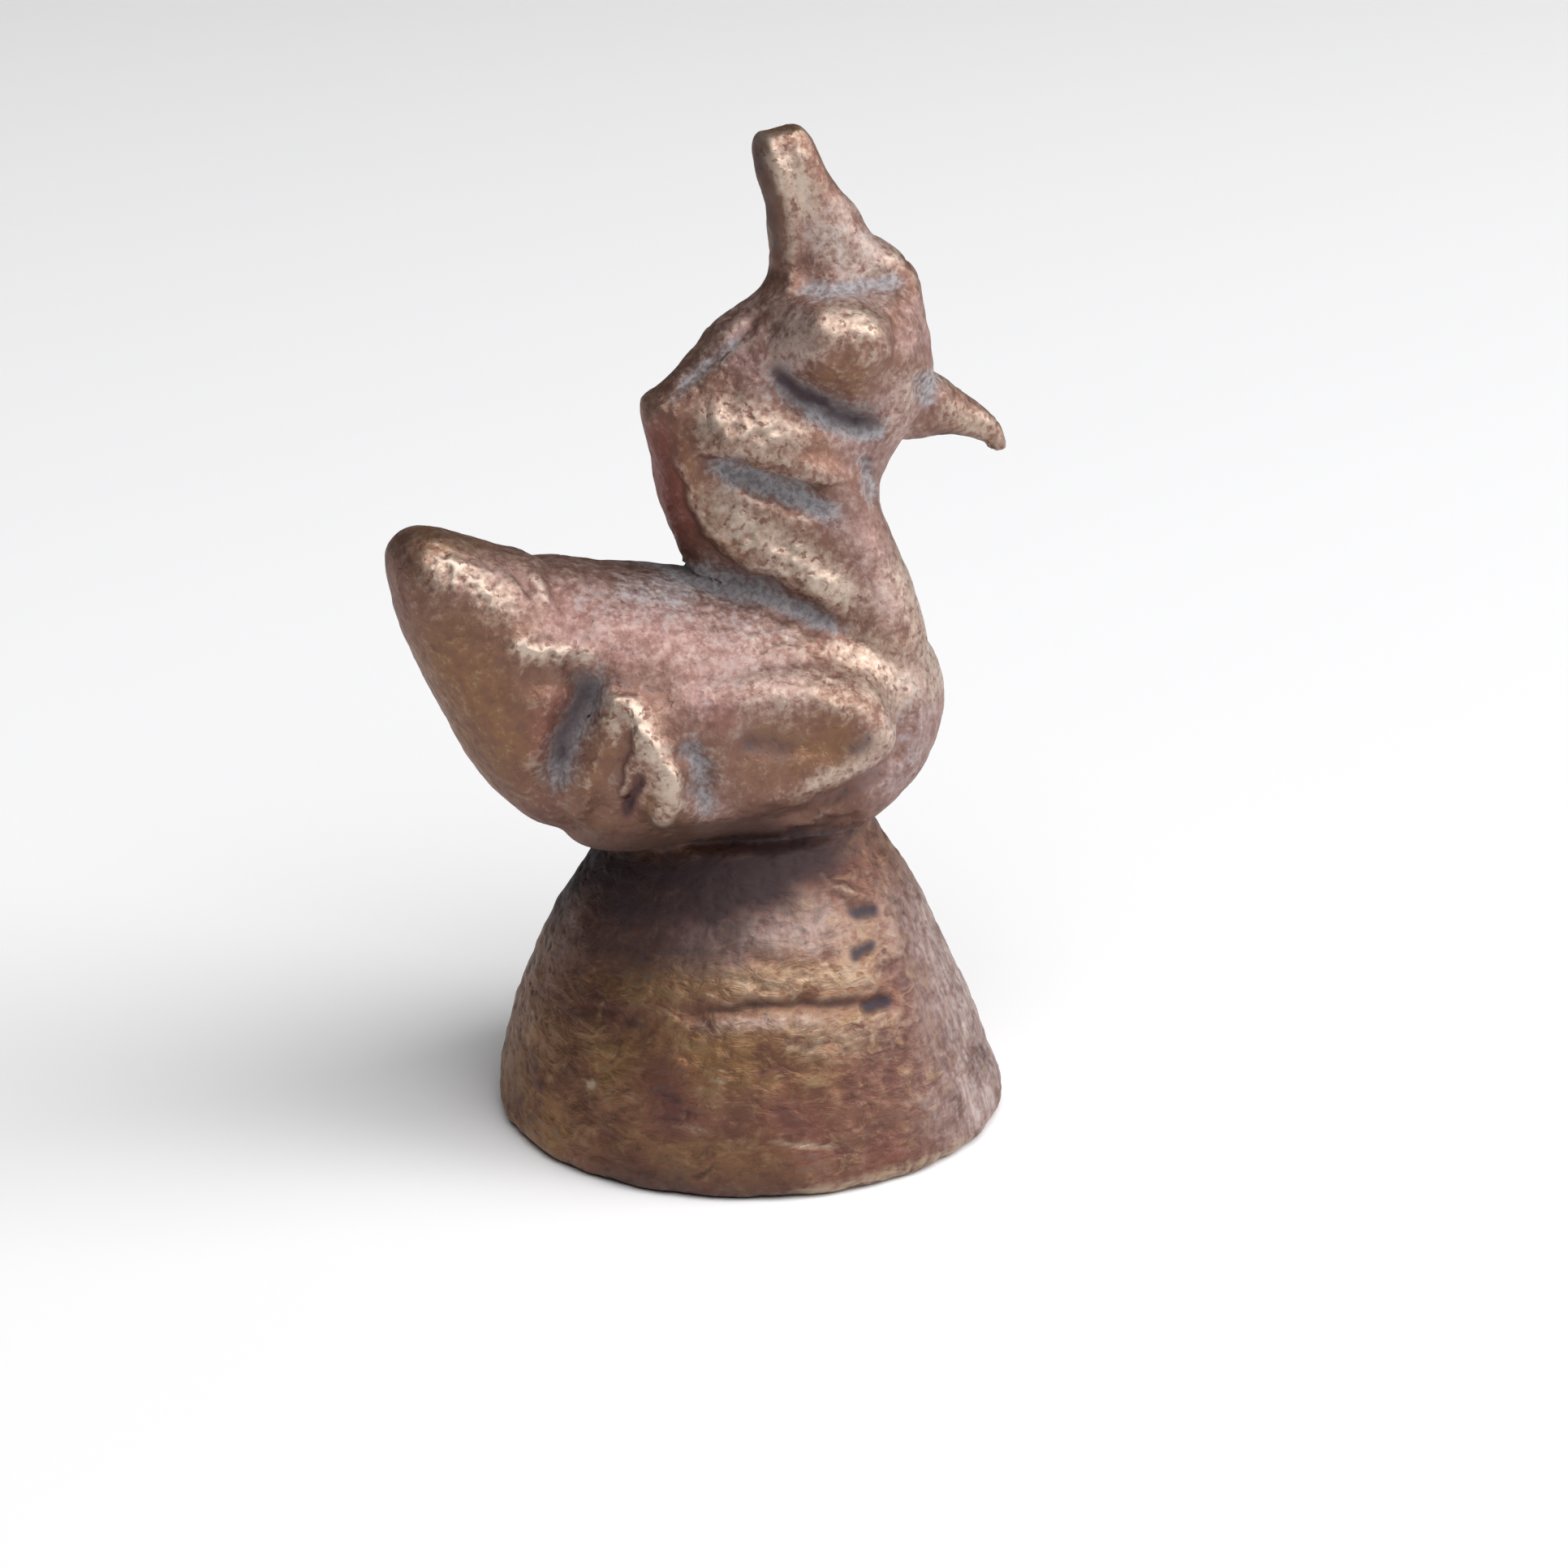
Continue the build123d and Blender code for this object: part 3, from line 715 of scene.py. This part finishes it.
def carve_foot(wax):
    """The crease under the belly, and the groove, pits and scratches of the foot."""
    foot = ("base",)
    groove = [(836, 1251), (910, 1242), (982, 1238), (1062, 1236), (1106, 1231)]
    corner = [(1078, 1040), (1100, 1130), (1122, 1230), (1145, 1340), (1150, 1430)]
    wax.work(("base", "body"), -0.30, 0.25, [(960, 1034), (1010, 1022), (1062, 1002)])
    wax.work(foot, -0.26, 0.45, groove, 0.24, 0.1, flank=-1)
    for across, down in FOOT_PITS:
        wax.work(foot, -0.20, 0.34, [(across - 8, down + 2), (across + 8, down - 2)], fade=0, flank=-1)
    wax.work(foot, 0.16, 0.30, [(1000, 1078), (1040, 1098), (1080, 1114)], flank=-1)
    wax.work(foot, 0.16, 0.70, corner, flank=-1)
    for scratch in (
        [(826, 1386), (874, 1392)],
        [(944, 1404), (1000, 1412), (1050, 1410)],
        [(850, 1452), (880, 1436)],
        [(724, 1240), (760, 1246)],
    ):
        wax.work(foot, -0.10, 0.10, scratch, flank=-1)
    wax.refresh()


def rub_middle(wax):
    """Rubs away the line where the two flanks' tool marks meet."""
    nearness = np.exp(-((wax.at[:, 1] / MIDDLE_WIDTH) ** 2))
    wax.relax(MIDDLE_ROUNDS, nearness * wax.on(("base", "body", "neck", "tail")))


def roughen(wax):
    """Uneven lumps and knocks, the fine pits of the casting, cratered patches and the foot's wrinkles."""
    pits = smooth_step(*PIT_RANGE, wax.uneven(*PITS))
    craters = smooth_step(*CRATER_RANGE, wax.uneven(*CRATERS))
    cratered = np.zeros(len(wax.at))
    for depth, width, line in CRATERED_LINES:
        touch = wax.stroke(line, width, TRUNK + ("neck", "head") + EYES)
        cratered = np.maximum(cratered, depth * touch)
    lift = LUMP_LIFT * wax.uneven(*LUMPS) + KNOCK_LIFT * wax.uneven(*KNOCKS) - PIT_DEPTH * pits
    wrinkles = WRINKLE_LIFT * wax.uneven(*WRINKLES) * wax.on(("base",))
    wax.move(lift - cratered * craters + wrinkles)
    wax.refresh()


def age(wax):
    """Paints the wear, the bloom, the golden and copper tones, the tarnish and the grime that use and years
    have left, and with them painted highlights, sheen, warm reflections and shade.
    """
    for name, lines in STAIN_LINES.items():
        for strength, width, line in lines:
            wax.stain(name, strength, width, line)
    for name, lines in FOOT_STAIN_LINES.items():
        for strength, width, line in lines:
            wax.stain(name, strength, width, line, ("base",))
    for across, down in FOOT_PITS:
        pit = [(across - 10, down + 3), (across + 10, down - 3)]
        for name, strength, width in PIT_STAINS:
            wax.stain(name, strength, width, pit, ("base",), fade=0)
    wax.stain("wear_and_highlight", *PALE_SPECK, ("base",), fade=0)


def measure_relief(wax):
    """Marks the hollows, which take patina, grime and painted shade, the edges that are rubbed bright, and
    a painted highlight on the tops that face up.
    """
    broad = ((wax.rubbed(BROAD_ROUNDS) - wax.at) * wax.normal).sum(axis=1)
    fine = ((wax.rubbed(FINE_ROUNDS) - wax.at) * wax.normal).sum(axis=1)
    fine_edge = smooth_step(*FINE_EDGE, -fine)
    broad_edge = smooth_step(*BROAD_EDGE, -broad)
    wax.stains["hollow"] = smooth_step(*HOLLOW_DEPTH, broad)
    # painted highlight: the faces that turn up are made paler, as if lit from above
    wax.stains["wear_and_highlight"] = TOP_HIGHLIGHT * smooth_step(*TOP_FACING, wax.normal[:, 2])
    wax.stains["edge"] = fine_edge * FINE_SHARE + broad_edge * (1 - FINE_SHARE)


def settle_owners(wax):
    """Gives each face of the skin to one form, with smooth borders between the forms."""
    claim = (wax.owner[:, None] == np.arange(len(FORMS))).astype(np.float32)
    for _ in range(BORDER_ROUNDS):
        claim = wax.neighbour_mean(claim)
    corners = np.empty(len(wax.mesh.loops), np.int32)
    wax.mesh.loops.foreach_get("vertex_index", corners)
    corners = corners.reshape(len(wax.mesh.polygons), -1)
    return claim[corners].sum(axis=1).argmax(axis=1)


def write_attributes(wax):
    """Stores the stains, the painted light and the joined skin's normals on the mesh."""
    attributes = wax.mesh.attributes
    for name, values in wax.stains.items():
        attributes.new(name, "FLOAT", "POINT").data.foreach_set("value", values.astype(np.float32))
    attributes.new(SKIN_NORMAL, "FLOAT_VECTOR", "POINT").data.foreach_set("vector", wax.normal.ravel())


def cut_piece(joined, owners, form, material):
    """One form's closed piece of the skin, in metres."""
    piece = joined.copy()
    index = FORMS.index(form)
    others = [face for face, owner in zip(piece.faces, owners) if owner != index]
    bmesh.ops.delete(piece, geom=others, context="FACES")
    rims = [edge for edge in piece.edges if edge.is_boundary]
    caps = bmesh.ops.edgeloop_fill(piece, edges=rims)["faces"]
    for cap in caps:
        corner = cap.loops[0]
        if corner.vert == corner.link_loop_radial_next.vert:
            cap.normal_flip()
    bmesh.ops.poke(piece, faces=caps, center_mode="MEAN")
    bmesh.ops.scale(piece, vec=Vector((MM, MM, MM)), verts=piece.verts)
    mesh = bpy.data.meshes.new(form + "_casting")
    piece.to_mesh(mesh)
    piece.free()
    mesh.shade_smooth()
    normals = np.empty((len(mesh.vertices), 3), np.float32)
    mesh.attributes[SKIN_NORMAL].data.foreach_get("vector", normals.ravel())
    mesh.attributes.remove(mesh.attributes[SKIN_NORMAL])
    mesh.normals_split_custom_set_from_vertices(normals)
    mesh.materials.append(material)
    made = bpy.data.objects.new(form + "_casting", mesh)
    bpy.context.scene.collection.objects.link(made)
    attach(made, "root")
    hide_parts(form)


class Recipe:
    """A node tree written down step by step."""

    def __init__(self, tree):
        self.tree = tree

    def feed(self, socket, value):
        """Links a socket to another, or sets its value."""
        if isinstance(value, bpy.types.NodeSocket):
            self.tree.links.new(value, socket)
        else:
            socket.default_value = value

    def node(self, kind, inputs=None, **settings):
        """A new node with its settings and inputs."""
        made = self.tree.nodes.new(kind)
        for name, value in settings.items():
            setattr(made, name, value)
        for name, value in (inputs or {}).items():
            self.feed(made.inputs[name], value)
        return made

    def sum(self, *terms):
        """Adds up (share, value) terms."""
        total = 0.0
        for share, value in terms:
            step = {0: value, 1: share, 2: total}
            total = self.node("ShaderNodeMath", step, operation="MULTIPLY_ADD").outputs[0]
        return total

    def product(self, first, second):
        """Multiplies two values."""
        return self.node("ShaderNodeMath", {0: first, 1: second}, operation="MULTIPLY").outputs[0]

    def ramp(self, value, low, high, start=0.0, end=1.0):
        """A smooth rise from start to end as value goes from low to high."""
        steps = {"Value": value, "From Min": low, "From Max": high, "To Min": start, "To Max": end}
        return self.node("ShaderNodeMapRange", steps, interpolation_type="SMOOTHSTEP").outputs[0]

    def mix(self, share, first, second):
        """Goes from the first colour to the second as share rises."""
        blend = {0: share, 6: first, 7: second}
        return self.node("ShaderNodeMix", blend, data_type="RGBA").outputs[2]

    def noise(self, where, scale, detail, rough, warp=0.0):
        """A noise value over the surface."""
        steps = {"Vector": where, "Scale": scale, "Detail": detail, "Roughness": rough, "Distortion": warp}
        return self.node("ShaderNodeTexNoise", steps).outputs[0]

    def stretched(self, where, scale):
        """Coordinates stretched along the axes."""
        return self.node("ShaderNodeMapping", {"Vector": where, "Scale": scale}).outputs[0]

    def attribute(self, name):
        """A stain that is stored on the mesh."""
        return self.node("ShaderNodeAttribute", attribute_name=name).outputs["Fac"]


def group(name, vectors, values, outputs):
    """An empty shader node group with vector inputs, value inputs and value outputs."""
    tree = bpy.data.node_groups.new(name, "ShaderNodeTree")
    for label in vectors:
        tree.interface.new_socket(label, in_out="INPUT", socket_type="NodeSocketVector")
    for label in values:
        tree.interface.new_socket(label, in_out="INPUT", socket_type="NodeSocketFloat")
    for label in outputs:
        tree.interface.new_socket(label, in_out="OUTPUT", socket_type="NodeSocketFloat")
    recipe = Recipe(tree)
    return recipe, recipe.node("NodeGroupInput").outputs, recipe.node("NodeGroupOutput").inputs


def cast_grain_group():
    """The casting's pitted surface: fine grain, broad mottle and scattered pits."""
    recipe, given, result = group(
        "cast grain", ("Vector", "Streaks"), ("Grain Scale", "Mottle Scale"), GRAINS
    )
    grain = recipe.noise(given["Streaks"], given["Grain Scale"], 4.0, 0.6)
    mottle = recipe.noise(given["Vector"], given["Mottle Scale"], 4.0, 0.6, 0.4)
    specks = recipe.noise(given["Streaks"], recipe.product(given["Grain Scale"], 0.7), 2.0, 0.5)
    recipe.feed(result["Grain"], grain)
    recipe.feed(result["Mottle"], mottle)
    recipe.feed(result["Pits"], recipe.ramp(specks, *PIT_RAMP))
    return recipe.tree


def ageing_group():
    """How worn, bloomed, golden, coppery, tarnished or grimy each place is, with the painted highlight,
    sheen, warm reflection and shade that go with them.
    """
    recipe, given, result = group("ageing", (), GRAINS, AGES)
    grain, mottle, pits = (given[label] for label in GRAINS)
    hollow, edge, wear_and_highlight, bloom_and_sheen, golden_and_warm_shade, copper_and_warm_reflection, tarnish, grime_and_shade = (recipe.attribute(name) for name in STAINS)
    # worn: wear on edges and ridges, together with the painted highlight held in the wear attribute
    worn_and_highlight = recipe.sum(
        (0.75, wear_and_highlight), (0.35, edge), (1.1, grain), (0.7, mottle), (-0.3, hollow), (-0.45, pits)
    )
    patches = recipe.ramp(recipe.sum((0.6, mottle), (0.4, grain)), *PATCH_RAMP)
    tarnished = recipe.sum((1.4, tarnish), (0.25, hollow), (2.0, mottle), (1.4, grain))
    # grime and painted shade, darker in the hollows
    grimy_and_shaded = recipe.sum((1.2, grime_and_shade), (0.3, hollow), (1.2, mottle), (0.9, grain))
    recipe.feed(result["Worn_And_Highlight"], recipe.ramp(worn_and_highlight, *WORN_AND_HIGHLIGHT_RAMP))
    # bloom and painted sheen, then golden and copper tones with painted warm reflection, broken into
    # patches
    recipe.feed(result["Bloom_And_Sheen"], recipe.product(bloom_and_sheen, patches))
    recipe.feed(result["Golden_And_Warm_Shade"], recipe.product(golden_and_warm_shade, patches))
    recipe.feed(result["Copper_And_Warm_Reflection"], recipe.product(copper_and_warm_reflection, patches))
    recipe.feed(result["Tarnish"], recipe.ramp(tarnished, *TARNISH_RAMP))
    recipe.feed(result["Grime_And_Shade"], recipe.ramp(grimy_and_shaded, *GRIME_AND_SHADE_RAMP))
    return recipe.tree


def metal(name, grain_group, age_group, colours, scales, streaks=None, brushing=None, wrinkles=None):
    """A cast brass whose colour, gloss and relief follow its age and the painted light stored with it."""
    made = bpy.data.materials.new(name)
    made.use_nodes = True
    recipe = Recipe(made.node_tree)
    shader = made.node_tree.nodes["Principled BSDF"]
    where = recipe.node("ShaderNodeTexCoord").outputs["Object"]
    grain = recipe.node("ShaderNodeGroup", node_tree=grain_group)
    recipe.feed(grain.inputs["Vector"], where)
    recipe.feed(grain.inputs["Streaks"], recipe.stretched(where, streaks) if streaks else where)
    grain.inputs["Grain Scale"].default_value, grain.inputs["Mottle Scale"].default_value = scales
    aged = recipe.node("ShaderNodeGroup", node_tree=age_group)
    for label in GRAINS:
        recipe.feed(aged.inputs[label], grain.outputs[label])
    fine, mottle, pits = (grain.outputs[label] for label in GRAINS)
    worn_and_highlight, bloom_and_sheen, golden_and_warm_shade, copper_and_warm_reflection, tarnish, grime_and_shade = (aged.outputs[label] for label in AGES)
    relief = [(0.6, fine), (0.4, mottle), (-0.4, pits)]
    colour = recipe.mix(recipe.ramp(mottle, *MOTTLE_RAMP), colours["dark"], colours["plain"])
    # golden tone, and a painted warm reflection in shade
    colour = recipe.mix(golden_and_warm_shade, colour, colours["golden_and_warm_shade"])
    # copper tone, and a painted warm reflection
    colour = recipe.mix(copper_and_warm_reflection, colour, colours["copper_and_warm_reflection"])
    if wrinkles:
        bark = recipe.noise(recipe.stretched(where, wrinkles), BARK_SCALE, 5.0, 0.62, 0.8)
        relief.append((BARK_RELIEF, bark))
        colour = recipe.mix(recipe.ramp(bark, *CRACK_RAMP), colour, colours["pit"])
        outside_copper_and_reflection = recipe.sum((-1.0, copper_and_warm_reflection), (1.0, 1.0))
        ridges = recipe.product(recipe.ramp(bark, *RIDGE_RAMP), outside_copper_and_reflection)
        colour = recipe.mix(ridges, colour, colours["ridge"])
    bloom_and_sheen_colour = colours["bloom_and_sheen"]
    if brushing:
        brushed = recipe.noise(recipe.stretched(where, brushing), BRUSH_SCALE, 3.0, 0.6)
        bloom_and_sheen_colour = recipe.mix(recipe.ramp(brushed, *BRUSH_RAMP), colours["brushed"], colours["bloom_and_sheen"])
    # bloom colour: a pale film, and a painted sheen
    colour = recipe.mix(bloom_and_sheen, colour, bloom_and_sheen_colour)
    # pale worn colour: wear, and a painted highlight
    colour = recipe.mix(worn_and_highlight, colour, colours["worn_and_highlight"])
    bare_pits = recipe.product(pits, recipe.sum((0.45, worn_and_highlight), (1.0, 0.25)))
    colour = recipe.mix(bare_pits, colour, colours["pit"])
    slate = recipe.mix(recipe.ramp(fine, *SLATE_RAMP), colours["slate"], colours["tarnish"])
    colour = recipe.mix(recipe.product(tarnish, TARNISH_COVER), colour, slate)
    # dark grime colour, also painted shade
    colour = recipe.mix(grime_and_shade, colour, colours["grime_and_shade"])
    recipe.feed(shader.inputs["Base Color"], colour)
    roughness = recipe.sum(
        (-0.12, worn_and_highlight), (0.08, bloom_and_sheen), (-0.12, golden_and_warm_shade), (0.22, tarnish), (0.15, grime_and_shade),
        (1.0, PLAIN_ROUGHNESS),
    )
    recipe.feed(shader.inputs["Roughness"], roughness)
    bare = recipe.sum((-0.20, bloom_and_sheen), (-0.5, tarnish), (-0.2, grime_and_shade), (1.0, PLAIN_METALLIC))
    recipe.feed(shader.inputs["Metallic"], bare)
    steps = {"Height": recipe.sum(*relief), "Strength": BUMP_STRENGTH, "Distance": BUMP_DEPTH}
    recipe.feed(shader.inputs["Normal"], recipe.node("ShaderNodeBump", steps).outputs["Normal"])
    return made


def aim(thing, place, target):
    """Places a lamp and turns it to the target, in metres."""
    thing.location = place
    thing.rotation_euler = (Vector(target) - Vector(place)).to_track_quat("-Z", "Y").to_euler()


def light_the_studio():
    """A pale floor, a pale backdrop and two large soft lamps."""
    floor_shape = bmesh.new()
    bmesh.ops.create_grid(floor_shape, x_segments=1, y_segments=1, size=FLOOR_SIZE)
    floor_mesh = bpy.data.meshes.new("studio_floor")
    floor_shape.to_mesh(floor_mesh)
    floor_shape.free()
    floor = bpy.data.objects.new("studio_floor", floor_mesh)
    floor.location.z = -FLOOR_DROP
    bpy.context.scene.collection.objects.link(floor)
    paper = bpy.data.materials.new("pale_paper")
    paper.use_nodes = True
    sheet = paper.node_tree.nodes["Principled BSDF"]
    sheet.inputs["Base Color"].default_value = PAPER_COLOUR
    sheet.inputs["Roughness"].default_value = PAPER_ROUGHNESS
    sheet.inputs["Specular IOR Level"].default_value = 0.0
    floor_mesh.materials.append(paper)

    world = bpy.data.worlds.new("studio")
    bpy.context.scene.world = world
    world.use_nodes = True
    recipe = Recipe(world.node_tree)
    background = world.node_tree.nodes["Background"]
    sky = recipe.node("ShaderNodeTexCoord").outputs["Generated"]
    up = recipe.node("ShaderNodeSeparateXYZ", {0: sky}).outputs["Z"]
    backdrop = recipe.ramp(up, *BACKDROP_RAMP)
    rays = recipe.node("ShaderNodeLightPath").outputs
    seen = recipe.sum(*((1.0, rays[f"Is {kind} Ray"]) for kind in ("Camera", "Glossy", "Transmission")))
    strength = recipe.product(backdrop, recipe.ramp(seen, *SEEN_RAMP))
    recipe.feed(background.inputs["Strength"], strength)

    for name, place, size, power in LAMPS:
        lamp = bpy.data.lights.new(name, "AREA")
        lamp.shape = "DISK"
        lamp.size = size
        lamp.energy = power
        holder = bpy.data.objects.new(name, lamp)
        bpy.context.scene.collection.objects.link(holder)
        aim(holder, place, LAMP_TARGET)


def set_camera():
    """The photograph's view of the duck."""
    lens = bpy.data.cameras.new("photo_view")
    lens.sensor_width = SENSOR_WIDTH
    lens.lens = PHOTO_FOCAL / PHOTO_SIZE * SENSOR_WIDTH
    lens.clip_start = LENS_CLIP
    holder = bpy.data.objects.new("photo_view", lens)
    turn = Matrix(np.stack((VIEW_RIGHT, VIEW_UP, VIEW_BACK), axis=1).tolist())
    holder.matrix_world = Matrix.LocRotScale(Vector(VIEW_EYE * MM), turn, None)
    bpy.context.scene.collection.objects.link(holder)
    bpy.context.scene.camera = holder


copies = {form: form_copy(form) for form in FORMS}
skin = Skin(casting_blank(copies), copies)
skin.relax(BLANK_ROUNDS, np.where(skin.on(SLIM_FORMS), SLIM_SHARE, BLANK_SHARE))
for joined_forms, rounds, reach in JOINT_FILLETS:
    fillet(skin, joined_forms, rounds, reach)
true_outline(skin)
carve_head(skin)
carve_neck(skin)
carve_tail(skin)
carve_wing(skin)
carve_foot(skin)
skin.relax(LAST_ROUNDS, LAST_SHARE)
rub_middle(skin)
roughen(skin)
skin.at = np.clip(skin.at, np.array(cad_low) / MM, np.array(cad_high) / MM).astype(np.float32)
skin.refresh()
measure_relief(skin)
age(skin)
write_attributes(skin)

grain_group = cast_grain_group()
age_group = ageing_group()
bird_metal = metal("worn_bird_brass", grain_group, age_group, BIRD_COLOURS, BIRD_SCALES)
foot_metal = metal(
    "filed_foot_brass", grain_group, age_group, FOOT_COLOURS, FOOT_SCALES,
    streaks=FOOT_STREAKS, brushing=FOOT_BRUSHING, wrinkles=FOOT_WRINKLES,
)

joined = bmesh.new()
joined.from_mesh(skin.mesh)
owners = settle_owners(skin)
for form in FORMS:
    cut_piece(joined, owners, form, foot_metal if form == "base" else bird_metal)
joined.free()
bpy.data.meshes.remove(skin.mesh)

light_the_studio()
set_camera()
bpy.context.scene.view_settings.view_transform = "Standard"
